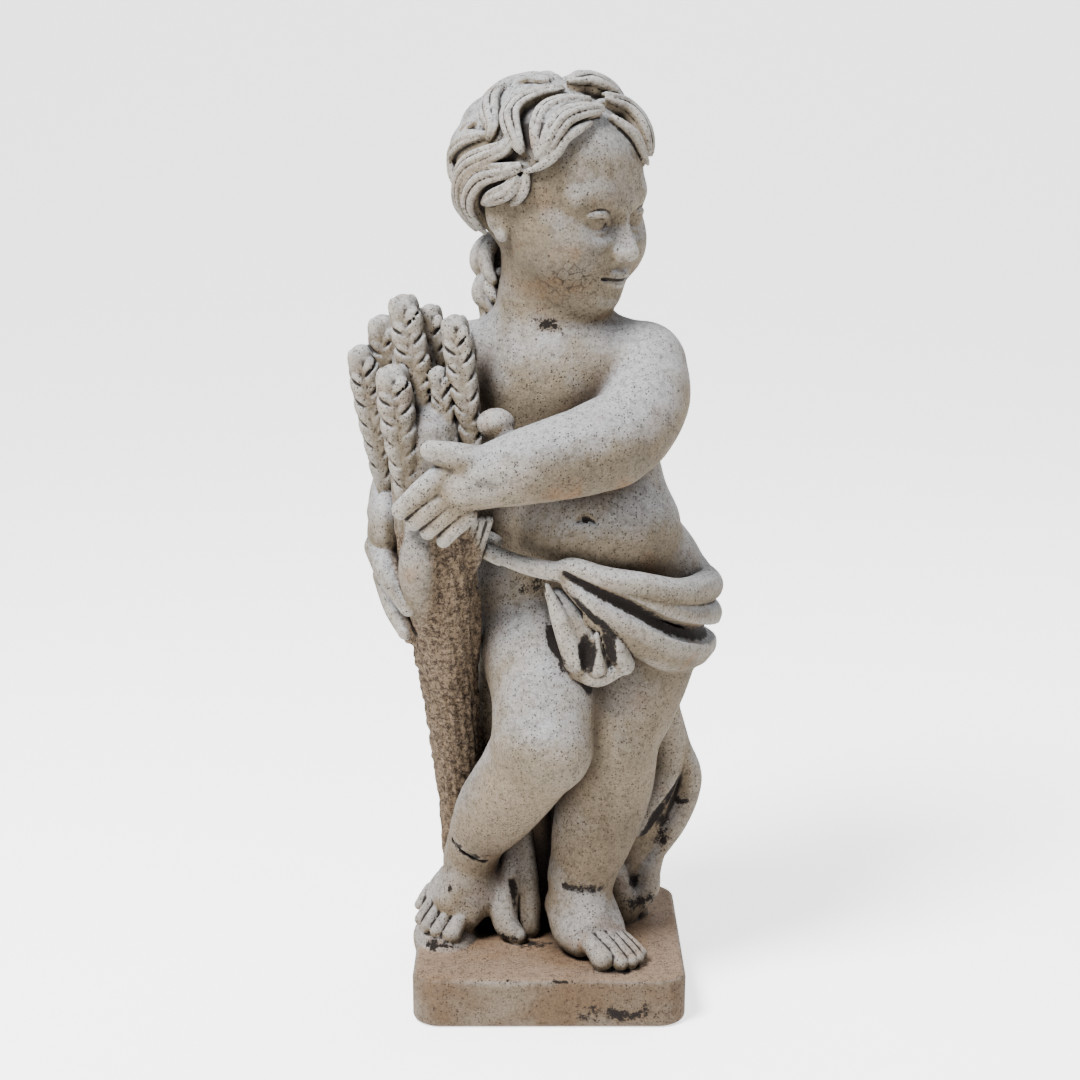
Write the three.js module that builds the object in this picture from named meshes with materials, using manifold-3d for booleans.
// Stone putto with a sheaf of wheat, cast in one piece with its plinth.
// Millimetres, +Z up. The origin is the centre of the plinth's underside. The front faces -Y.
import * as THREE from 'three';
import { edgeTable, triTable } from 'three/addons/objects/MarchingCubes.js';
import { mergeVertices } from 'three/addons/utils/BufferGeometryUtils.js';
import Module from 'manifold-3d';

// Driving sizes, in millimetres.
const figureHeight = 615;
const plinthWidth = 190;
const plinthDepth = 190;
const plinthHeight = 35;
const plinthCorner = 20;
const plinthEdge = 4.5;
const gridStep = 3;
const figureFacets = 9000;

// The figure is carved in hundredths of its own height, above the top of the plinth.
const unit = figureHeight / 100;
const step = gridStep / unit;
const far = 6;
const low = [-24, -18, -4];
const high = [23, 18, 102.5];

const radians = (degrees) => (degrees * Math.PI) / 180;
const between = (value, least, most) => Math.min(Math.max(value, least), most);
const plus = (a, b, share = 1) => a.map((value, i) => value + b[i] * share);
const dot = (a, b) => a[0] * b[0] + a[1] * b[1] + a[2] * b[2];
const cross = (a, b) => [a[1] * b[2] - a[2] * b[1], a[2] * b[0] - a[0] * b[2], a[0] * b[1] - a[1] * b[0]];
const unitary = (a) => a.map((value) => value / Math.hypot(...a));

// The block of clay: the signed distance to the surface at each point of a grid.
const cells = low.map((value, i) => Math.ceil((high[i] - value) / step) + 1);
const [columns, rows, layers] = cells;
const field = new Float32Array(columns * rows * layers).fill(far);
const indexOf = (i, j, k) => (k * rows + j) * columns + i;

// Runs the change over the grid points inside a box, with the form's distance there.
function work(form, margin, change) {
  const cellOf = (value, i, round) => between(round((value - low[i]) / step), 0, cells[i] - 1);
  const first = form.least.map((value, i) => cellOf(value - margin, i, Math.ceil));
  const last = form.most.map((value, i) => cellOf(value + margin, i, Math.floor));
  for (let k = first[2]; k <= last[2]; k += 1) {
    for (let j = first[1]; j <= last[1]; j += 1) {
      for (let i = first[0]; i <= last[0]; i += 1) {
        const here = indexOf(i, j, k);
        const away = form.distance(low[0] + i * step, low[1] + j * step, low[2] + k * step);
        field[here] = change(field[here], away);
      }
    }
  }
}

// Joins a form on, with a fillet about as wide as the blend.
function add(form, blend) {
  for (const piece of form) {
    work(piece, blend + 2 * step, (old, away) => {
      const near = Math.max(blend - Math.abs(old - away), 0);
      return Math.min(old, away) - (near * near) / (4 * blend);
    });
  }
}

// Carves a form out, with its rim softened over about the blend.
function cut(form, blend) {
  for (const piece of form) {
    work(piece, blend + 2 * step, (old, away) => {
      const near = Math.max(blend - Math.abs(old + away), 0);
      return Math.max(old, -away) + (near * near) / (4 * blend);
    });
  }
}

// A smooth curve through rows of numbers, the radius among them.
function smoothPath(points, steps) {
  if (points.length < 3) return points;
  const before = points[0].map((value, i) => 2 * value - points[1][i]);
  const after = points.at(-1).map((value, i) => 2 * value - points.at(-2)[i]);
  const all = [before, ...points, after];
  const out = [];
  for (let i = 1; i < all.length - 2; i += 1) {
    for (let n = 0; n < steps; n += 1) {
      const t = n / steps;
      out.push(all[i].map((b, m) => {
        const [a, c, d] = [all[i - 1][m], all[i + 1][m], all[i + 2][m]];
        return 0.5 * (2 * b + (c - a) * t + (2 * a - 5 * b + 4 * c - d) * t ** 2
          + (3 * b - a - 3 * c + d) * t ** 3);
      }));
    }
  }
  out.push(points.at(-1));
  return out;
}

// A round strand whose radius changes along its path of rows x, y, z, radius.
function tube(points, steps = 3) {
  const path = smoothPath(points, steps);
  const parts = [];
  for (let i = 1; i < path.length; i += 1) {
    const [a, b] = [path[i - 1], path[i]];
    const way = [b[0] - a[0], b[1] - a[1], b[2] - a[2]];
    const span = Math.max(dot(way, way), 1e-9);
    const reach = Math.max(a[3], b[3]);
    parts.push({
      least: [0, 1, 2].map((m) => Math.min(a[m], b[m]) - reach),
      most: [0, 1, 2].map((m) => Math.max(a[m], b[m]) + reach),
      distance(x, y, z) {
        const [px, py, pz] = [x - a[0], y - a[1], z - a[2]];
        const t = between((px * way[0] + py * way[1] + pz * way[2]) / span, 0, 1);
        return Math.hypot(px - t * way[0], py - t * way[1], pz - t * way[2]) - a[3] - t * (b[3] - a[3]);
      },
    });
  }
  // One form whose distance is the least of its parts, so that the parts get no fillets between them.
  const least = [0, 1, 2].map((m) => Math.min(...parts.map((part) => part.least[m])));
  const most = [0, 1, 2].map((m) => Math.max(...parts.map((part) => part.most[m])));
  return [{
    least,
    most,
    distance(x, y, z) {
      let best = far;
      for (const part of parts) {
        if (x > part.least[0] - best && x < part.most[0] + best && y > part.least[1] - best
          && y < part.most[1] + best && z > part.least[2] - best && z < part.most[2] + best) {
          best = Math.min(best, part.distance(x, y, z));
        }
      }
      return best;
    },
  }];
}

// An ellipsoid. Its turn is three rows, and its own axes are the columns.
const upright = [[1, 0, 0], [0, 1, 0], [0, 0, 1]];
function ball(centre, radii, turn = upright) {
  const reach = turn.map((row) => Math.hypot(...row.map((value, i) => value * radii[i])));
  const axes = [0, 1, 2].map((i) => turn.map((row) => row[i] / radii[i]));
  return [{
    least: plus(centre, reach, -1),
    most: plus(centre, reach),
    distance(x, y, z) {
      const q = [x - centre[0], y - centre[1], z - centre[2]];
      let near = 0;
      let slope = 0;
      for (let i = 0; i < 3; i += 1) {
        const own = dot(q, axes[i]);
        near += own * own;
        slope += (own / radii[i]) ** 2;
      }
      near = Math.sqrt(near);
      return (near * (near - 1)) / Math.max(Math.sqrt(slope), 1e-6);
    },
  }];
}

// A turn about one axis, as three rows.
function turnAbout(axis, degrees) {
  const c = Math.cos(radians(degrees));
  const s = Math.sin(radians(degrees));
  if (axis === 'x') return [[1, 0, 0], [0, c, -s], [0, s, c]];
  if (axis === 'y') return [[c, 0, s], [0, 1, 0], [-s, 0, c]];
  return [[c, -s, 0], [s, c, 0], [0, 0, 1]];
}
const after = (a, b) => a.map((row) => [0, 1, 2].map((i) => dot(row, b.map((other) => other[i]))));

// A place and a turn of its own: forms are given in it and come out in figure units.
class Frame {
  constructor({ origin, yaw = 0, nod = 0, mirror = 1, scale = 1 }) {
    this.origin = origin;
    this.turn = after(turnAbout('z', yaw), turnAbout('x', nod));
    this.mirror = mirror;
    this.scale = scale;
  }

  point(p) {
    const q = [p[0] * this.mirror, p[1], p[2]];
    return this.origin.map((value, i) => value + dot(this.turn[i], q) * this.scale);
  }

  tube(points, steps = 3) {
    return tube(points.map((p) => [...this.point(p), p[3] * this.scale]), steps);
  }

  ball(centre, radii, roll = 0) {
    const own = after(this.turn, turnAbout('y', roll * this.mirror));
    return ball(this.point(centre), radii.map((value) => value * this.scale), own);
  }
}

// The standing leg is on the right of the view. The bent leg has its knee towards the viewer.
function carveLegs() {
  add(tube([[9.6, 1.0, 40, 8.4], [9.0, -1.0, 34, 7.8], [7.9, -2.8, 29.4, 6.8], [7.1, -3.9, 25.2, 5.7],
    [6.5, -3.0, 18.6, 5.4], [5.2, -2.8, 13.2, 4.8], [3.9, -2.8, 8.0, 3.7]]), 1.2);
  add(ball([7.0, -6.2, 25.3], [3.6, 3.4, 3.4]), 1.6);
  add(tube([[-0.9, 0.5, 40, 7.2], [-1.0, -3.5, 35.4, 6.7], [-0.5, -7.2, 30.8, 6.0],
      [-0.8, -9.6, 26.6, 5.6]]), 1.0);
  add(tube([[-0.9, -9.4, 25.8, 5.4], [-3.3, -7.2, 21.1, 5.0], [-5.9, -4.5, 16.8, 4.6],
      [-7.8, -2.3, 13.2, 3.7],
    [-9.1, -0.4, 9.6, 2.9]]), 0.5);
  add(ball([0.4, -11.2, 25.0], [3.8, 3.6, 3.8]), 2.0);
}

// The feet: heel, masses from the ankle to the toes, and each toe's knuckle, tip and radius.
const standingFoot = {
  heel: [[3.6, 0.4, 2.7], [3.2, 3.4, 2.8]],
  masses: [
    [[3.6, -3.0, 7.6, 3.5], [3.8, -4.6, 5.2, 3.3], [4.5, -6.8, 3.0, 2.9]],
    [[2.0, -3.0, 4.2, 2.4], [2.6, -6.8, 2.4, 2.1], [3.6, -9.0, 1.9, 1.6]],
    [[5.4, -2.0, 4.0, 2.4], [6.8, -5.2, 2.4, 2.0], [7.4, -7.6, 1.8, 1.5]],
  ],
  toes: [
    [[3.9, -9.0, 2.4], [6.0, -12.3, 1.25], 1.3],
    [[5.6, -8.9, 2.8], [8.1, -12.6, 0.95], 0.9],
    [[6.7, -8.4, 2.7], [9.3, -12.1, 0.9], 0.82],
    [[7.7, -7.8, 2.5], [10.1, -11.2, 0.95], 0.76],
    [[8.4, -7.0, 2.2], [10.6, -9.9, 1.0], 0.68],
  ],
};
const bentFoot = {
  heel: [[-8.6, 3.4, 4.2], [2.8, 3.2, 3.2]],
  masses: [
    [[-9.1, -0.6, 9.2, 2.9], [-9.8, -1.4, 6.6, 2.8], [-11.0, -1.8, 4.4, 2.5]],
    [[-8.0, -0.6, 6.4, 2.3], [-8.6, -2.0, 4.4, 2.1], [-9.4, -3.0, 3.0, 1.6]],
    [[-10.2, 1.0, 6.6, 2.2], [-12.0, 0.6, 5.2, 2.0], [-13.2, 0.0, 4.0, 1.6]],
  ],
  toes: [
    [[-9.4, -2.4, 3.5], [-11.2, -5.6, 1.5], 1.15],
    [[-10.9, -1.9, 4.0], [-13.0, -5.0, 1.7], 0.8],
    [[-12.1, -1.3, 4.3], [-14.2, -4.1, 2.0], 0.75],
    [[-13.2, -0.6, 4.6], [-15.0, -2.9, 2.4], 0.7],
    [[-14.1, 0.6, 5.0], [-15.2, -0.8, 3.4], 0.62],
  ],
};

function carveFoot(foot) {
  add(ball(...foot.heel), 1.0);
  for (const mass of foot.masses) add(tube(mass), 1.2);
  for (const [knuckle, tip, radius] of foot.toes) {
    const middle = plus(knuckle, plus(tip, knuckle, -1), 0.55);
    add(tube([[...knuckle, radius * 0.95], [...plus(middle, [0, 0, 0.25]), radius * 0.85],
        [...tip, radius]]), 0.08);
  }
}

function carveTorso() {
  add(ball([0.9, 0.5, 64.3], [10.6, 7.6, 9.4]), 1.0);
  add(tube([[-9.5, 2.6, 67.2, 4.6], [0.5, 1.2, 68.6, 5.0], [10.2, -1.0, 67.6, 4.6]]), 2.5);
  add(ball([3.2, -0.6, 55.5], [9.4, 7.9, 8]), 3);
  add(ball([5.0, -2.6, 49.2], [9.9, 8.2, 7.8]), 2.5);
  add(ball([6.4, 0.9, 43.6], [11.1, 8.8, 8.6]), 1.5);
  add(ball([-2.6, 1.2, 50.5], [6.6, 6.4, 9.5]), 2.0);
  add(ball([-1.6, 0.4, 42.5], [7.2, 7.2, 7.5]), 1.5);
  add(ball([-0.2, 4.6, 40.5], [6.6, 5.6, 6.6]), 1.5);
  add(ball([10.2, 4.4, 40.5], [6.8, 5.6, 6.8]), 1.5);
  add(tube([[0.2, 1.0, 70, 6.6], [0.0, 0.6, 74, 5.9], [0.4, 0.8, 78, 5.6]]), 2.2);
  // Hollow of the throat, spine and navel.
  cut(ball([-0.3, -6.6, 71.8], [1.8, 1.0, 0.7]), 0.8);
  cut(tube([[1.2, 9.2, 70, 0.8], [1.8, 9.0, 62, 0.9], [3.2, 8.6, 54, 0.9], [4.6, 10.2, 47, 0.8]]), 2.0);
  cut(tube([[3.1, -10.3, 51.4, 0.25], [4.0, -10.4, 51.8, 0.45], [4.9, -10.4, 51.4, 0.25]]), 0.3);
}

// The head is turned towards the figure's left and bent a little down.
const head = new Frame({ origin: [0.6, 0.3, 87.0], yaw: 54, nod: 10, scale: 0.95 });

function carveHead() {
  add(head.ball([0, 0.6, 1.6], [9.9, 10.9, 9.9]), 0.5);
  add(head.ball([0, -3.0, -4.6], [8.4, 7.7, 8.0]), 2.0);
  for (const s of [-1, 1]) add(head.ball([s * 4.4, -5.6, -5.4], [4.0, 4.6, 4.6]), 2.0);
  add(head.ball([0, -8.0, -10.4], [2.7, 2.6, 2.2]), 2.2);
  add(head.ball([0, -4.0, -10.2], [5.6, 5.0, 3.2]), 2.5);
  // Nose.
  add(head.tube([[0, -9.4, -0.6, 0.95], [0, -10.3, -3.0, 0.95], [0, -11.5, -5.0, 1.2]]), 1.2);
  for (const s of [-1, 1]) {
    add(head.ball([s * 1.2, -10.8, -5.4], [0.85, 1.05, 0.8]), 0.7);
    cut(head.ball([s * 0.65, -11.6, -6.2], [0.35, 0.5, 0.32]), 0.3);
  }
  // Eye hollows, brow, eyes and lids.
  for (const s of [-1, 1]) {
    cut(head.ball([s * 3.7, -10.9, -1.9], [2.8, 1.9, 1.7], s * 4), 1.2);
    add(head.tube([[s * 1.8, -9.1, 0.3, 0.7], [s * 3.9, -8.8, 1.2, 0.85], [s * 6.2, -7.5, 0.5, 0.7]]), 1.8);
    add(head.ball([s * 3.7, -7.7, -1.95], [2.2, 1.95, 1.7]), 0.15);
    add(head.tube([[s * 1.7, -9.3, -2.3, 0.28], [s * 2.6, -9.6, -1.3, 0.38], [s * 3.9, -9.65, -0.85, 0.42],
      [s * 5.2, -9.0, -1.25, 0.38], [s * 6.0, -8.3, -2.1, 0.26]]), 0.15);
    add(head.tube([[s * 1.8, -9.3, -2.45, 0.24], [s * 2.9, -9.5, -3.05, 0.32], [s * 4.3, -9.35, -3.1, 0.32],
      [s * 5.8, -8.4, -2.4, 0.22]]), 0.25);
  }
  // Lips, the line between them and the hollows over and under them.
  add(head.ball([0, -8.9, -8.0], [2.9, 1.7, 2.0]), 1.2);
  add(head.tube([[-2.3, -9.9, -8.25, 0.25], [-1.0, -10.8, -7.85, 0.5], [0, -10.95, -8.0, 0.45],
    [1.0, -10.8, -7.85, 0.5], [2.3, -9.9, -8.25, 0.25]]), 0.35);
  add(head.tube([[-1.8, -10.1, -8.8, 0.3], [0, -10.7, -9.1, 0.7], [1.8, -10.1, -8.8, 0.3]]), 0.35);
  cut(head.tube([[-2.5, -9.9, -8.35, 0.2], [-1.2, -11.0, -8.45, 0.26], [0, -11.3, -8.42, 0.26],
    [1.2, -11.0, -8.45, 0.26], [2.5, -9.9, -8.35, 0.2]]), 0.2);
  cut(head.tube([[0, -11.6, -6.9, 0.2], [0, -11.4, -7.5, 0.2]]), 0.5);
  cut(head.tube([[-1.2, -10.9, -10.1, 0.3], [0, -11.1, -10.15, 0.35], [1.2, -10.9, -10.1, 0.3]]), 1.0);
  // Ears.
  for (const s of [-1, 1]) {
    add(head.ball([s * 8.8, 1.0, -2.6], [1.0, 1.9, 2.8], s * 8), 0.6);
    add(head.ball([s * 8.7, 0.2, -5.0], [0.8, 0.9, 0.95]), 0.5);
  }
}

// A point over the skull. The turn goes from the face to the figure's right, the height is in degrees.
const skull = [0, 0.6, 1.6];
const skullReach = [9.9, 10.9, 9.9];
function overSkull(turn, height, lift) {
  const way = [-Math.sin(turn) * Math.cos(height), -Math.cos(turn) * Math.cos(height), Math.sin(height)];
  return way.map((value, i) => skull[i] + value * (skullReach[i] + lift));
}

// Shares of a lock's width: its core, how deep that lies, and its strands' radius, spread and drop.
const lockShares = { core: 0.85, depth: 0.8, strand: 0.34, spread: 0.7, drop: 0.2 };

// A swept lock of hair: three strands arched over a fuller core, highest half way and narrow at both ends.
function carveLock(guide, width, lift) {
  const turns = smoothPath(guide, 3);
  const swell = turns.map((_, i) => Math.sin(Math.PI * ((i / (turns.length - 1)) * 0.88 + 0.08)) ** 0.65);
  const over = (drop) => turns.map(([turn, height], i) => {
    const rise = lift * (0.55 + 0.6 * swell[i]) - drop * width;
    return overSkull(radians(turn), radians(height), rise);
  });
  const core = over(lockShares.depth);
  add(head.tube(core.map((p, i) => [...p, width * lockShares.core * swell[i]]), 1), 0.15);
  for (const strand of [-1, 0, 1]) {
    const path = over(lockShares.drop * strand * strand);
    add(head.tube(path.map((p, i) => {
      const next = path[Math.min(i + 1, path.length - 1)];
      const last = path[Math.max(i - 1, 0)];
      const side = unitary(cross(plus(next, last, -1), plus(p, skull, -1)));
      const full = width * swell[i];
      return [...plus(p, side, strand * full * lockShares.spread), full * lockShares.strand + 0.05];
    }), 1), 0.05);
  }
}

// Locks of the fringe and the sides: their guide of turns and heights, width and lift.
const fringe = [
  [[[111, 78], [138, 70], [148, 58], [133, 45], [115, 36], [104, 28], [103, 19]], 1.35, 1.4],
  [[[61, 71], [85, 60], [95, 49], [95, 39], [89, 31], [82, 23], [77, 17]], 1.2, 1.5],
  [[[23, 63], [53, 57], [68, 48], [71, 38], [70, 28], [68, 17]], 1.1, 1.3],
  [[[16, 54], [37, 50], [53, 43], [60, 33], [63, 24], [68, 15]], 1.15, 1.6],
  [[[32, 44], [42, 38], [52, 30], [57, 20], [64, 12], [74, 6]], 0.6, 1.1],
  [[[50, 82], [-20, 80], [-38, 71], [-46, 60], [-50, 50]], 1.7, 1.9],
  [[[-10, 64], [-34, 55], [-38, 45], [-36, 36], [-34, 28], [-33, 20]], 1.6, 1.7],
  [[[5, 50], [-5, 42], [-13, 34], [-18, 26], [-28, 15]], 0.6, 1.0],
  [[[-38, 60], [-58, 50], [-62, 38], [-56, 26], [-58, 14], [-66, 4]], 1.3, 1.0],
  [[[-62, 36], [-76, 24], [-74, 10], [-78, -4], [-88, -16]], 1.2, 0.9],
  [[[-88, 24], [-94, 8], [-90, -6], [-96, -22], [-104, -32]], 1.2, 0.9],
  [[[125, 33], [130, 23], [142, 13]], 0.95, 1.2],
  [[[107, 22], [123, 16], [139, 7], [145, -1], [140, -10], [131, -17]], 1.1, 1.4],
  [[[89, 28], [88, 18], [99, 10], [110, 3], [119, -6], [127, -20], [131, -33], [129, -45]], 1.2, 1.5],
  [[[76, 9], [86, 4], [99, -2], [108, -12], [113, -23], [112, -33], [109, -43]], 1.2, 1.5],
  [[[77, 3], [81, -6], [91, -13], [102, -20]], 0.95, 1.2],
  [[[73, 7], [72, -2], [75, -10], [81, -17]], 0.6, 0.8],
];
// Rows of waves over the crown and the back: height, first and last turn, count and width.
const crownRows = [
  [82, 110, 330, 4, 1.5],
  [64, 142, 322, 7, 1.5],
  [44, 138, 312, 9, 1.45],
  [24, 146, 288, 9, 1.4],
  [4, 148, 276, 8, 1.35],
  [-14, 142, 266, 7, 1.3],
];
// Curls on the nape, over the mass of hair behind the neck.
const napeCore = [[[-2.8, 5.2, 82.0, 3.6], [-3.0, 4.6, 78.0, 3.1], [-3.0, 4.0, 74.6, 2.3]],
  [[3.4, 5.4, 82.0, 4.3], [3.0, 5.0, 78.0, 3.6], [3.0, 4.4, 74.6, 2.5]]];
const nape = [
  [[-5.4, 5.0, 81.4, 1.1], [-7.3, 4.9, 79.9, 1.3], [-7.8, 4.4, 78.2, 1.15], [-6.8, 3.8, 76.7, 0.7]],
  [[-6.0, 4.4, 77.9, 0.8], [-7.3, 3.8, 76.3, 1.1], [-7.7, 3.2, 74.7, 1.0], [-6.6, 2.4, 73.3, 0.6]],
  [[-6.0, 3.2, 81.2, 0.8], [-7.0, 2.5, 79.5, 0.95], [-6.9, 1.8, 77.9, 0.8], [-6.2, 1.0, 76.6, 0.5]],
  [[-5.6, 2.4, 77.4, 0.6], [-6.6, 1.6, 76.0, 0.8], [-6.2, 0.6, 74.7, 0.5]],
  [[-5.2, 4.2, 75.6, 1.0], [-6.8, 3.8, 74.2, 1.1], [-7.0, 3.0, 72.6, 0.9]],
  [[-2.0, 8.2, 82.8, 1.5], [-2.4, 7.4, 79.8, 1.8], [-4.0, 7.2, 76.6, 1.6], [-2.8, 6.6, 73.8, 1.0]],
  [[1.2, 9.2, 82.8, 1.5], [1.0, 8.4, 79.8, 1.8], [-0.2, 8.0, 76.6, 1.6], [1.2, 7.2, 73.8, 1.0]],
  [[4.8, 8.6, 82.8, 1.5], [4.6, 7.8, 79.8, 1.8], [3.6, 7.6, 76.6, 1.6], [4.8, 6.6, 73.8, 1.0]],
  [[7.4, 6.2, 82.8, 1.5], [7.2, 5.2, 79.8, 1.7], [6.6, 5.2, 77.0, 1.5], [7.0, 4.2, 74.8, 0.9]],
];

function carveHair() {
  add(head.ball([0, 2.2, 2.4], [10.3, 10.8, 10.0]), 0.3);
  for (const core of napeCore) add(tube(core), 0.8);
  crownRows.forEach(([height, first, last, count, width], row) => {
    const bend = row % 2 ? -8 : 8;
    for (let i = 0; i < count; i += 1) {
      const turn = first + ((last - first) * (i + 0.5)) / count;
      carveLock([[turn, height], [turn + bend, height - 10], [turn + bend * 0.6, height - 20],
        [turn - bend, height - 30]], width, 1.2);
    }
  });
  for (const lock of nape) add(tube(lock), 0.1);
  for (const [guide, width, lift] of fringe) carveLock(guide, width, lift);
}

// The left arm crosses the chest. Its hand lies over the sheaf, its back to the viewer.
const leftFingers = [
  [[-11.0, -14.9, 57.4, 1.7], [-13.7, -15.2, 55.5, 1.4], [-15.9, -14.3, 53.5, 1.1]],
  [[-10.4, -15.2, 55.6, 1.3], [-12.7, -15.4, 53.8, 1.1], [-14.6, -14.4, 52.1, 0.9]],
  [[-9.6, -15.2, 54.2, 1.2], [-11.6, -15.2, 52.6, 1.0], [-13.1, -14.3, 51.1, 0.85]],
  [[-8.8, -15.0, 53.0, 1.1], [-10.3, -15.0, 51.5, 0.95], [-11.4, -14.3, 50.1, 0.8]],
];
function carveLeftArm() {
  add(tube([[10.6, -1.4, 67.4, 4.8], [10.6, -4.6, 64.4, 5.0], [8.8, -7.8, 61.4, 5.0],
      [6.2, -9.9, 60.1, 4.8]]), 0.6);
  add(tube([[6.6, -9.8, 59.9, 4.9], [2.4, -11.6, 59.0, 4.7], [-2.6, -13.1, 58.0, 4.1],
      [-7.0, -14.2, 57.0, 3.3]]), 0.8);
  add(tube([[-7.0, -14.2, 57.0, 3.1], [-9.2, -14.3, 56.2, 3.0], [-10.8, -14.2, 55.6, 2.4]]), 0.5);
  add(tube([[-8.0, -14.8, 58.6, 2.0], [-10.4, -15.4, 59.5, 1.6], [-12.6, -15.6, 60.2, 1.15]]), 0.5);
  for (const finger of leftFingers) add(tube(finger), 0.08);
}

// The right arm hangs round the sheaf from behind and holds it below.
const rightFingers = [
  [[-19.0, -4.8, 47.4, 1.75], [-17.6, -8.0, 44.8, 1.5], [-15.4, -10.4, 41.9, 1.2]],
  [[-18.3, -3.8, 43.9, 1.6], [-17.2, -6.4, 40.9, 1.35], [-15.9, -8.2, 38.5, 1.05]],
  [[-17.6, -2.6, 42.2, 1.2], [-16.6, -4.6, 39.2, 1.1], [-15.4, -5.8, 37.2, 0.9]],
];
function carveRightArm() {
  add(tube([[-9.6, 2.8, 67.0, 4.6], [-12.4, 4.4, 61.5, 4.4], [-15.2, 5.4, 55.6, 4.0],
      [-16.8, 3.0, 52.6, 3.6],
    [-17.8, -0.6, 50.6, 2.9]]), 0.8);
  add(ball([-18.2, -3.2, 48.2], [2.3, 4.0, 5.6], turnAbout('x', 20)), 0.8);
  for (const finger of rightFingers) add(tube(finger), 0.1);
}

// Heads of wheat: base, tip and half of their width.
const ears = [
  [[-18.4, -3.4, 54.0], [-21.0, -4.2, 70.4], 2.0],
  [[-16.6, -2.6, 56.0], [-18.6, -3.0, 73.6], 2.15],
  [[-13.2, -1.4, 58.0], [-15.4, 0.2, 73.4], 2.0],
  [[-11.4, -4.0, 60.0], [-13.3, -3.4, 74.8], 1.7],
  [[-9.0, -3.4, 58.0], [-10.4, -2.4, 72.8], 1.8],
  [[-12.9, -7.4, 58.0], [-16.2, -6.2, 76.2], 2.2],
  [[-8.2, -8.6, 59.0], [-10.5, -7.6, 74.1], 1.95],
  [[-10.8, -8.4, 58.5], [-12.2, -7.8, 68.4], 1.4],
  [[-15.2, -10.0, 53.0], [-17.2, -9.6, 69.0], 2.35],
];
const sheafCore = [[-13, -6, 56, 3.6], [-14.4, -5.2, 64, 3.4], [-15.0, -4.4, 69, 2.2]];
const grainRow = 2.7;
const grainLength = 2.3;
const seamRadius = 0.24;
const seamRise = 2.1;
// Shares of half an ear's width: its stem, how far out the grains and the seams sit, and the grains' size.
const earShares = { base: 0.5, stem: 0.66, out: 0.42, wide: 0.58, thick: 0.52, lean: 0.26, rim: 0.95 };

// Plump grains laid in four columns round a stem, with slanting seams carved between them.
function carveEar(base, tip, width) {
  const length = Math.hypot(...plus(tip, base, -1));
  const along = unitary(plus(tip, base, -1));
  const side = unitary(cross(along, [0, 1, 0]));
  const front = cross(side, along);
  const out = (angle) => side.map((value, i) => value * Math.cos(angle) + front[i] * Math.sin(angle));
  const last = 1 - grainLength / length;
  const grow = (share) => between(0.66 + 0.6 * share, 0, 1) * between(0.8 + 3.2 * (last - share), 0, 1);
  const stem = [[0, earShares.base], [0.5, earShares.stem], [1 - (width * 0.8) / length, earShares.stem]];
  add(tube(stem.map(([share, radius]) => [...plus(base, along, length * share), width * radius])), 0.2);
  const count = Math.round(length / grainRow);
  const places = [];
  for (let row = 0; row < count; row += 1) {
    for (let column = 0; column < 4; column += 1) {
      places.push([((row + 0.3 + 0.5 * (column % 2)) / count) * last, column]);
    }
  }
  for (const [share, column] of places) {
    const way = out((Math.PI / 4) * (1 + 2 * column));
    const lean = unitary(plus(along, way, earShares.lean));
    const flat = unitary(cross(lean, way));
    const centre = plus(plus(base, along, length * share), way, width * earShares.out * grow(share));
    const turn = [0, 1, 2].map((i) => [flat[i], cross(lean, flat)[i], lean[i]]);
    const radii = [width * earShares.wide * grow(share), width * earShares.thick * grow(share), grainLength];
    add(ball(centre, radii, turn), 0.08);
  }
  for (const [share, column] of places) {
    const seam = share + (0.5 * last) / count;
    const inner = column < 2 ? Math.PI / 2 : Math.PI * 1.5;
    const sweep = (Math.PI / 2) * (column % 2 ? 1 : -1);
    if (seam > last) continue;
    cut(tube([0, 0.5, 1].map((t) => {
      const level = plus(base, along, length * seam + seamRise * (t - 0.5));
      return [...plus(level, out(inner + sweep * t), width * earShares.rim * grow(seam)), seamRadius];
    })), 0.12);
  }
}

// The bundle of stalks leans in behind the bent leg.
const spine = [[-13.4, -6.6, 60, 4.2], [-12.6, -8.2, 50, 4.2], [-12.2, -7.4, 44, 3.9],
  [-11.9, -5.6, 37.5, 3.5],
  [-11.2, -2.6, 29, 2.9], [-10.2, 1.6, 15, 2.4], [-9.0, 4.0, -0.5, 2.8]];
const stalks = 18;
// One short head lies against the chest.
const shortEar = [[-5.8, -10.2, 62.2], [2.1, 1.9, 1.7]];
// Leaves that hang from the grip.
const leaves = [
  [[-14.0, -11.2, 50.0, 1.8], [-14.2, -11.4, 46.8, 2.3], [-14.0, -10.2, 43.4, 2.1],
      [-13.6, -8.6, 39.0, 1.3]],
  [[-8.8, -5.8, 42, 1.2], [-8.9, -5.4, 38, 1.4], [-9.2, -4.2, 33, 0.9]],
];
const fineStalks = 5;

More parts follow.
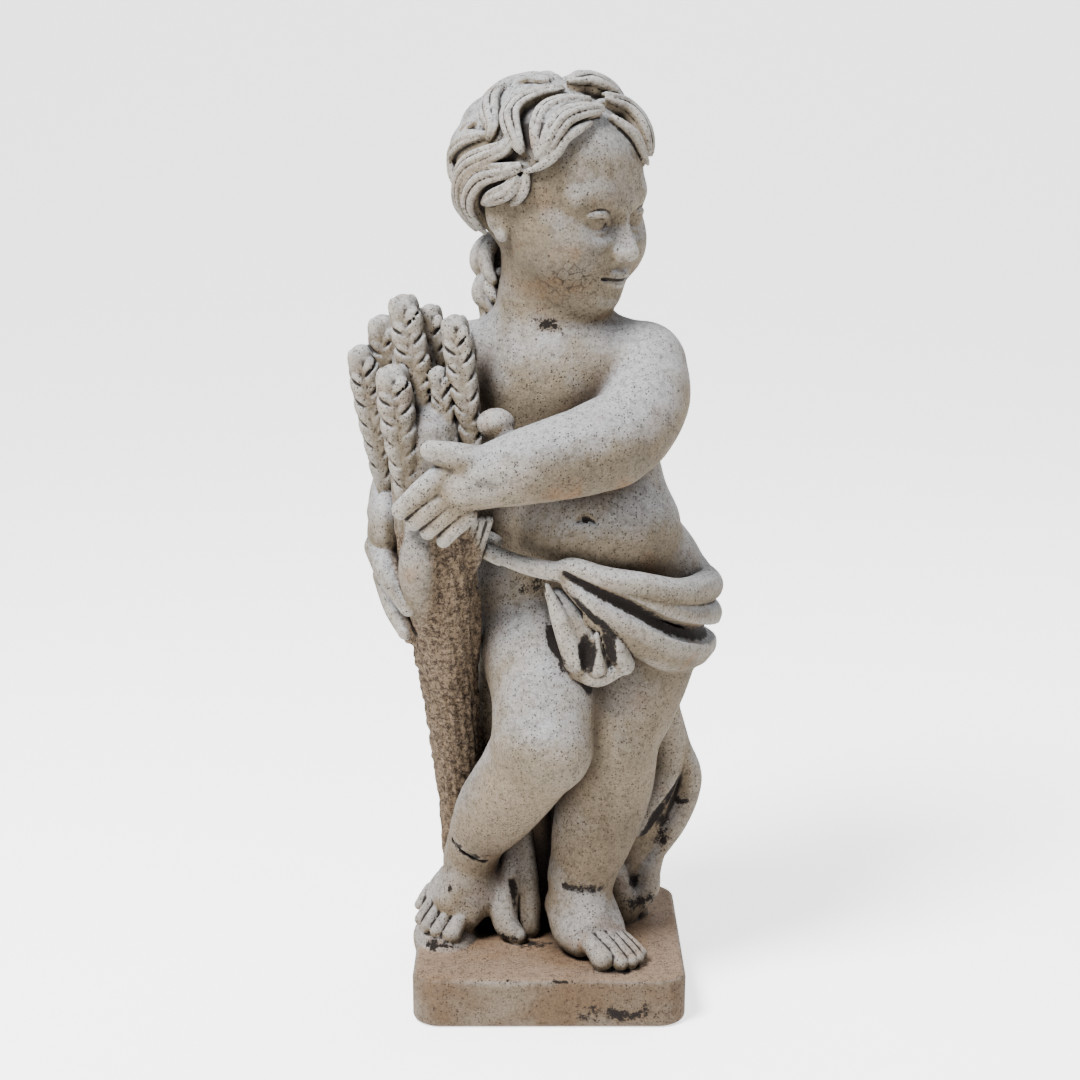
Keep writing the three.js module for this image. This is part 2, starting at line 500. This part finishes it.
function carveSheaf() {
  add(tube(sheafCore), 0.4);
  for (const [base, tip, width] of ears) carveEar(base, tip, width);
  add(ball(...shortEar), 0.2);
  add(tube(spine), 0.4);
  const path = smoothPath(spine, 3);
  for (let k = 0; k < stalks; k += 1) {
    add(tube(path.map(([x, y, z, r], j) => {
      const angle = (2 * Math.PI * k) / stalks + 0.05 * j;
      return [x + Math.cos(angle) * r * 0.93, y + Math.sin(angle) * r * 0.93, z, 0.42 + 0.03 * r];
    }), 1), 0.1);
  }
  for (const leaf of leaves) add(tube(leaf), 0.2);
  for (let k = 0; k < fineStalks; k += 1) {
    add(tube([[-6.6 - 0.8 * k, -9.9 - 0.3 * k, 51.5, 0.5], [-8.4 - 0.66 * k, -9.3 - 0.2 * k, 46, 0.5],
      [-10.4 - 0.4 * k, -8.0, 40, 0.42]]), 0.06);
  }
}

// A fold that goes round the hip: rows of its direction in degrees, height and radius.
const hip = { x: 4.8, y: -0.7, reach: 13.1, depth: 11.3 };
function roundHip(fold, inset = 0) {
  return tube(fold.map(([direction, height, radius]) => [
    hip.x + (hip.reach - inset) * Math.cos(radians(direction)),
    hip.y + (hip.depth - inset) * Math.sin(radians(direction)), height, radius,
  ]));
}
const upperFold = [[-107, 46.4, 0.8], [-99, 46.6, 1.1], [-86, 45.5, 1.3], [-68, 44.5, 1.5], [-46, 43.1, 1.6],
  [-20, 42.5, 1.8], [8, 42.3, 1.9], [52, 43.4, 2.0], [90, 44.6, 1.8], [130, 46.2, 1.7], [160, 47.6, 1.5],
  [190, 48.4, 1.2], [214, 48.4, 0.9]];
const secondFold = [[-94, 44.9, 0.6], [-80, 43.9, 0.9], [-64, 42.4, 1.2], [-46, 41.0, 1.4], [-20, 39.4, 1.7],
  [8, 38.9, 1.8], [52, 39.6, 1.8], [90, 41.0, 1.7], [130, 42.0, 1.7], [160, 43.0, 1.5]];
const lowerFold = [[-106, 45.8, 0.8], [-98, 44.0, 1.2], [-86, 41.8, 1.6], [-68, 39.5, 1.8], [-46, 37.1, 2.0],
  [-20, 35.9, 1.9], [10, 35.4, 1.9], [52, 36.0, 1.9], [90, 36.8, 1.9], [130, 37.6, 1.8], [160, 38.4, 1.6]];
const hemFold = [[-92, 40.7, 0.7], [-80, 38.9, 0.9], [-64, 37.1, 1.2], [-46, 35.2, 1.3], [-20, 34.5, 1.2],
  [10, 33.8, 1.4], [52, 34.0, 1.3]];
const foldGroove = [[-103, 46.0, 0.4], [-96, 45.0, 0.6], [-83, 43.4, 0.8], [-68, 41.5, 0.95],
  [-49, 39.1, 1.05],
  [-23, 37.5, 1.05], [8, 37.1, 0.9], [40, 37.6, 0.6]];
// The tail of the knot: the cloth behind, its hanging folds, and the furrows cut between them.
const tailMasses = [
  [[0.8, -10.3, 43.0, 1.0], [2.8, -10.2, 39.2, 1.9], [5.0, -9.8, 36.0, 2.2]],
  [[-0.3, -11.5, 44.4, 0.4], [1.4, -11.7, 40.2, 1.1], [3.0, -11.4, 36.0, 1.5]],
  [[5.2, -11.9, 39.0, 0.35], [5.3, -11.7, 35.2, 1.15]],
  [[5.9, -11.5, 40.0, 0.5], [7.3, -11.4, 37.4, 1.15], [8.3, -11.0, 35.4, 1.15]],
  [[3.0, -11.0, 34.6, 0.9], [5.3, -11.5, 33.9, 0.95], [7.6, -11.0, 34.9, 0.9]],
];
const tailFurrows = [
  [[6.0, -12.6, 39.8, 0.5], [6.5, -12.4, 37.8, 0.7], [6.9, -12.2, 35.6, 0.45]],
  [[4.3, -12.6, 39.6, 0.4], [4.2, -12.5, 37.4, 0.85], [4.1, -12.5, 35.4, 0.55]],
  [[0.4, -12.2, 44.8, 0.45], [2.6, -12.6, 42.6, 0.65], [4.6, -12.8, 40.9, 0.65], [7.0, -12.4, 39.0, 0.5]],
  [[-5.0, -10.2, 46.0, 0.45], [-2.6, -11.0, 45.0, 0.5], [-0.8, -11.6, 44.2, 0.4]],
];

function carveCloth() {
  // The fold from under the sheaf to the knot.
  add(tube([[-7.4, -8.4, 48.0, 0.9], [-4.8, -9.8, 47.1, 1.0], [-2.0, -11.0, 46.5, 1.0],
    [0.8, -11.4, 46.0, 1.1]]), 0.2);
  add(roundHip(lowerFold, 0.6), 0.4);
  add(roundHip(hemFold, 1.0), 0.7);
  add(roundHip(secondFold), 0.3);
  add(roundHip(upperFold), 0.25);
  // The edge of the cloth that stands up behind the hip.
  add(tube([[16.6, 3.0, 43.6, 1.6], [15.2, 4.4, 46.4, 1.3], [13.2, 5.6, 47.2, 1.1], [10.4, 7.0, 46.2, 1.2],
    [8.0, 8.0, 44.8, 1.2]]), 0.8);
  for (const mass of tailMasses) add(tube(mass), 0.12);
  cut(roundHip(foldGroove, -0.9), 0.25);
  for (const furrow of tailFurrows) cut(tube(furrow), 0.25);
}

// How the cloth behind the legs falls: height, reach, depth, middle and sweep in degrees.
const fall = [
  [41, 10.6, 5.6, 5.2, 0],
  [32, 9.8, 4.8, 4.6, 6],
  [20, 9.0, 3.6, 3.2, 14],
  [8, 8.2, 3.6, 2.2, 12],
  [-1, 9.2, 5.0, 1.8, 8],
];
const fallFolds = 10;

// The body of the cloth behind the legs.
const backCores = [
  [[6.4, 3.8, 40, 6.0], [6.0, 3.8, 30, 4.8], [4.6, 3.8, 18, 4.2], [3.4, 4.0, 6, 4.6], [3.0, 4.2, -1, 5.0]],
  [[-1.0, 4.0, 40, 5.0], [-2.0, 4.0, 30, 4.0], [-3.0, 3.8, 16, 3.6], [-4.0, 4.0, 4, 3.8],
    [-4.0, 4.0, -1, 4.0]],
];
// Single folds with their blend: beside the standing leg, between the legs and beside the sheaf.
const sideFolds = [
  [[[13.4, 1.8, 34, 2.6], [13.2, 3.2, 27, 2.2], [14.2, 4.2, 21.5, 2.0], [13.2, 4.2, 16, 1.8],
    [11.0, 3.4, 11.6, 1.3]], 0.3],
  [[[12.6, 5.4, 26, 2.0], [13.4, 6.4, 18, 2.2], [12.2, 6.4, 12, 2.2], [10.0, 5.4, 6, 2.0]], 0.5],
  [[[13.2, 4.8, 28, 1.7], [15.2, 5.4, 21.5, 1.6], [16.7, 6.0, 17.5, 1.6], [16.4, 6.2, 14.5, 1.6],
    [15.0, 6.0, 11.3, 1.6], [13.2, 5.6, 8.2, 1.2]], 0.2],
  [[[13.0, 5.4, 8.2, 1.1], [11.8, 4.8, 5.6, 1.7], [11.4, 4.2, 3.4, 1.8], [9.4, 3.2, 1.8, 1.7]], 0.2],
  [[[7.4, 2.6, 6, 2.0], [8.4, 3.0, 2, 2.2], [8.4, 3.0, 0, 2.2]], 0.5],
  [[[-3.9, 0.4, 12.5, 1.1], [-4.1, -0.8, 8.6, 1.4], [-5.0, -2.2, 4.6, 1.5], [-5.0, -3.4, 2.2, 1.5],
    [-3.6, -4.4, 0.9, 1.0]], 0.25],
  [[[-3.1, 0.2, 12.5, 1.1], [-2.7, -0.9, 7.6, 1.4], [-2.3, -1.8, 4.6, 1.3], [-2.2, -2.2, 1.2, 1.3]], 0.2],
  [[[-1.4, 1.8, 15, 1.4], [-0.8, 1.8, 9, 1.3], [-1.0, 1.2, 3, 1.4]], 0.3],
  [[[-6.0, 1.4, 36, 2.0], [-6.4, 1.6, 29, 2.1], [-6.2, 2.0, 24, 2.0], [-5.8, 2.6, 14, 2.2],
    [-6.0, 3.0, 0, 2.4]], 0.5],
];
const fallFurrows = [
  [[17.0, 3.6, 19.4, 0.4], [15.6, 3.4, 16.4, 0.9], [13.4, 3.0, 13.2, 1.1], [11.2, 2.4, 9.4, 1.0]],
  [[13.3, 3.6, 11.2, 0.7], [13.7, 3.2, 9.6, 1.2], [13.4, 3.2, 8.2, 0.8]],
  [[-4.3, -2.8, 7.0, 0.3], [-3.5, -3.6, 4.8, 0.5], [-2.9, -4.4, 2.6, 0.5]],
];

function carveBackCloth() {
  for (const core of backCores) add(tube(core), 1.0);
  for (let k = 0; k < fallFolds; k += 1) {
    add(tube(fall.map(([height, reach, depth, middle, sweep]) => {
      const angle = radians(12 + (156 * k) / (fallFolds - 1) + sweep);
      const radius = 1.35 + 0.75 * (k % 2) + 0.01 * (40 - height);
      const out = 1 + 0.1 * (k % 2);
      return [middle + reach * Math.cos(angle), 3.6 + depth * out * Math.sin(angle), height, radius];
    })), 0.5);
  }
  for (const [fold, blend] of sideFolds) add(tube(fold), blend);
  for (const furrow of fallFurrows) cut(tube(furrow), 0.3);
}

// The crease over each ankle.
const ankleCreases = [
  [[-11.0, -3.4, 12.4, 0.25], [-9.4, -4.4, 11.3, 0.4], [-7.4, -4.2, 10.2, 0.25]],
  [[1.6, -6.6, 7.9, 0.25], [4.1, -7.4, 7.7, 0.4], [6.6, -6.4, 7.6, 0.25]],
];

carveBackCloth();
carveLegs();
carveTorso();
carveCloth();
carveHead();
carveHair();
// The bent leg's foot stands on a low mound.
add(ball([-12.0, -0.6, -0.5], [4.0, 7.2, 2.6]), 1.0);
carveFoot(standingFoot);
carveFoot(bentFoot);
for (const crease of ankleCreases) cut(tube(crease), 0.3);
carveRightArm();
carveSheaf();
carveLeftArm();

// The clay ends inside the plinth.
const rootDepth = 2;
for (let k = 0; k < layers; k += 1) {
  const below = -rootDepth - (low[2] + k * step);
  for (let at = indexOf(0, 0, k); at < indexOf(0, 0, k + 1); at += 1) field[at] = Math.max(field[at], below);
}

// The skin of the clay, one vertex for each grid edge that it crosses.
function skin() {
  const corners = [[0, 0, 0], [1, 0, 0], [1, 1, 0], [0, 1, 0], [0, 0, 1], [1, 0, 1], [1, 1, 1], [0, 1, 1]];
  const edges = [[0, 1], [1, 2], [3, 2], [0, 3], [4, 5], [5, 6], [7, 6], [4, 7], [0, 4], [1, 5], [2, 6],
    [3, 7]];
  const known = new Map();
  const points = [];
  const faces = [];
  const vertexOn = (i, j, k, edge) => {
    const [a, b] = edges[edge].map((corner) => corners[corner]);
    const start = indexOf(i + a[0], j + a[1], k + a[2]);
    const axis = [0, 1, 2].find((m) => a[m] !== b[m]);
    const key = start * 3 + axis;
    if (!known.has(key)) {
      const end = indexOf(i + b[0], j + b[1], k + b[2]);
      const share = between(field[start] / (field[start] - field[end]), 0.02, 0.98);
      known.set(key, points.length);
      points.push([i + a[0], j + a[1], k + a[2]].map((value, m) => {
        const moved = value + (m === axis ? share : 0);
        return (low[m] + moved * step) * unit + (m === 2 ? plinthHeight : 0);
      }));
    }
    return known.get(key);
  };
  for (let k = 0; k < layers - 1; k += 1) {
    for (let j = 0; j < rows - 1; j += 1) {
      for (let i = 0; i < columns - 1; i += 1) {
        let shape = 0;
        corners.forEach(([x, y, z], n) => {
          if (field[indexOf(i + x, j + y, k + z)] < 0) shape |= 1 << n;
        });
        if (edgeTable[shape] === 0) continue;
        for (let n = shape * 16; triTable[n] !== -1; n += 3) {
          faces.push([2, 1, 0].map((m) => vertexOn(i, j, k, triTable[n + m])));
        }
      }
    }
  }
  return { points, faces };
}

// Keeps the largest connected skin, so that pockets closed in by the forms are solid.
function outermost({ points, faces }) {
  const parent = points.map((_, i) => i);
  const rootOf = (i) => {
    let at = i;
    while (parent[at] !== at) {
      parent[at] = parent[parent[at]];
      at = parent[at];
    }
    return at;
  };
  for (const [a, b, c] of faces) {
    parent[rootOf(b)] = rootOf(a);
    parent[rootOf(c)] = rootOf(a);
  }
  const sizes = new Map();
  for (const [a] of faces) sizes.set(rootOf(a), (sizes.get(rootOf(a)) ?? 0) + 1);
  const most = Math.max(...sizes.values());
  return { points, faces: faces.filter(([a]) => sizes.get(rootOf(a)) === most) };
}

// A queue that gives back the cheapest entry first.
class Queue {
  constructor() {
    this.heap = [];
  }

  push(entry) {
    const { heap } = this;
    let at = heap.length;
    heap.push(entry);
    while (at > 0) {
      const up = (at - 1) >> 1;
      if (heap[up].cost <= entry.cost) break;
      heap[at] = heap[up];
      at = up;
    }
    heap[at] = entry;
  }

  pop() {
    const { heap } = this;
    const top = heap[0];
    const entry = heap.pop();
    if (heap.length === 0) return top;
    let at = 0;
    for (;;) {
      let down = 2 * at + 1;
      if (down >= heap.length) break;
      if (down + 1 < heap.length && heap[down + 1].cost < heap[down].cost) down += 1;
      if (heap[down].cost >= entry.cost) break;
      heap[at] = heap[down];
      at = down;
    }
    heap[at] = entry;
    return top;
  }
}

// Merges the shortest and flattest edges first, until the skin has the wanted number of facets.
function simplify({ points, faces }, wanted) {
  const pull = 0.002;
  const quadrics = points.map(([x, y, z]) => [pull, 0, 0, pull, 0, pull, -pull * x, -pull * y, -pull * z,
    pull * (x * x + y * y + z * z)]);
  const around = points.map(() => []);
  const version = new Int32Array(points.length);
  const alive = new Uint8Array(faces.length).fill(1);
  const normalOf = (a, b, c) => cross(plus(b, a, -1), plus(c, a, -1));
  faces.forEach((face, f) => {
    const [a, b, c] = face.map((v) => points[v]);
    const area = normalOf(a, b, c);
    const size = Math.hypot(...area);
    for (const v of face) around[v].push(f);
    if (size < 1e-9) return;
    const [x, y, z] = area.map((value) => value / size);
    const d = -dot([x, y, z], a);
    const plane = [x * x, x * y, x * z, y * y, y * z, z * z, x * d, y * d, z * d, d * d];
    for (const v of face) plane.forEach((value, i) => {
      quadrics[v][i] += value * size;
    });
  });
  const costAt = (q, [x, y, z]) => q[0] * x * x + q[3] * y * y + q[5] * z * z
    + 2 * (q[1] * x * y + q[2] * x * z + q[4] * y * z + q[6] * x + q[7] * y + q[8] * z) + q[9];
  const bestPlace = (q) => {
    const a = [q[0], q[1], q[2]];
    const b = [q[1], q[3], q[4]];
    const c = [q[2], q[4], q[5]];
    const target = [-q[6], -q[7], -q[8]];
    const bc = cross(b, c);
    const whole = dot(a, bc);
    const ca = cross(c, a);
    const ab = cross(a, b);
    return [0, 1, 2].map((i) => (target[0] * bc[i] + target[1] * ca[i] + target[2] * ab[i]) / whole);
  };
  const queue = new Queue();
  const offer = (u, v) => {
    const q = quadrics[u].map((value, i) => value + quadrics[v][i]);
    const place = bestPlace(q);
    const cost = costAt(q, place);
    queue.push({ cost, u, v, place, stamp: version[u] + version[v] });
  };
  for (const [a, b, c] of faces) {
    if (a < b) offer(a, b);
    if (b < c) offer(b, c);
    if (c < a) offer(c, a);
  }
  const neighbours = (v) => new Set(around[v].flatMap((f) => faces[f]).filter((w) => w !== v));
  const turnsOver = (v, other, place) => around[v].some((f) => {
    if (faces[f].includes(other)) return false;
    const old = faces[f].map((w) => points[w]);
    const moved = faces[f].map((w) => (w === v ? place : points[w]));
    const [before, now] = [normalOf(...old), normalOf(...moved)];
    return dot(before, now) < 0.3 * Math.hypot(...before) * Math.hypot(...now);
  });
  let count = faces.length;
  while (count > wanted && queue.heap.length > 0) {
    const { u, v, place, stamp } = queue.pop();
    if (around[u].length === 0 || around[v].length === 0 || stamp !== version[u] + version[v]) continue;
    const shared = around[u].filter((f) => faces[f].includes(v));
    const near = neighbours(u);
    const common = [...neighbours(v)].filter((w) => near.has(w));
    if (shared.length !== 2 || common.length !== 2) continue;
    if (turnsOver(u, v, place) || turnsOver(v, u, place)) continue;
    for (const f of shared) {
      alive[f] = 0;
      for (const w of faces[f]) if (w !== u && w !== v) around[w].splice(around[w].indexOf(f), 1);
    }
    for (const f of around[v]) {
      if (!alive[f]) continue;
      faces[f][faces[f].indexOf(v)] = u;
      around[u].push(f);
    }
    around[v] = [];
    around[u] = around[u].filter((f) => alive[f]);
    points[u] = place;
    quadrics[v].forEach((value, i) => {
      quadrics[u][i] += value;
    });
    version[u] += version[v] + 1;
    count -= 2;
    for (const w of neighbours(u)) offer(u, w);
  }
  return { points, faces: faces.filter((_, f) => alive[f]) };
}

const wasm = await Module();
wasm.setup();
const { Manifold, Mesh } = wasm;

// A closed solid from an indexed skin.
function solidOf(positions, indices) {
  return new Manifold(new Mesh({ numProp: 3, vertProperties: positions, triVerts: indices }));
}

const carved = simplify(outermost(skin()), figureFacets);
const figure = solidOf(Float32Array.from(carved.points.flat()), Uint32Array.from(carved.faces.flat()));

// The plinth: a slab with round corners and softened edges.
const [halfWidth, halfDepth] = [plinthWidth / 2 - plinthEdge, plinthDepth / 2 - plinthEdge];
const inner = plinthCorner - plinthEdge;
const outline = new THREE.Shape();
outline.absarc(halfWidth - inner, halfDepth - inner, inner, 0, Math.PI / 2);
outline.absarc(inner - halfWidth, halfDepth - inner, inner, Math.PI / 2, Math.PI);
outline.absarc(inner - halfWidth, inner - halfDepth, inner, Math.PI, Math.PI * 1.5);
outline.absarc(halfWidth - inner, inner - halfDepth, inner, Math.PI * 1.5, Math.PI * 2);
const slab = new THREE.ExtrudeGeometry(outline, {
  depth: plinthHeight - 2 * plinthEdge,
  curveSegments: 6,
  bevelThickness: plinthEdge,
  bevelSize: plinthEdge,
  bevelSegments: 3,
});
slab.translate(0, 0, plinthEdge);
slab.deleteAttribute('normal');
slab.deleteAttribute('uv');
const plinthSkin = mergeVertices(slab, 0.001);
const plinthPoints = Float32Array.from(plinthSkin.attributes.position.array);
const plinth = solidOf(plinthPoints, Uint32Array.from(plinthSkin.index.array));

const statue = plinth.add(figure).getMesh();
const geometry = new THREE.BufferGeometry();
geometry.setAttribute('position', new THREE.BufferAttribute(Float32Array.from(statue.vertProperties), 3));
geometry.setIndex([...statue.triVerts]);
geometry.computeVertexNormals();

const stone = new THREE.MeshStandardMaterial({ color: '#aaa294', roughness: 0.9, metalness: 0 });
const mesh = new THREE.Mesh(geometry, stone);
mesh.name = 'putto_statue';

const group = new THREE.Group();
group.name = 'putto_statue_whole';
group.add(mesh);

export default group;
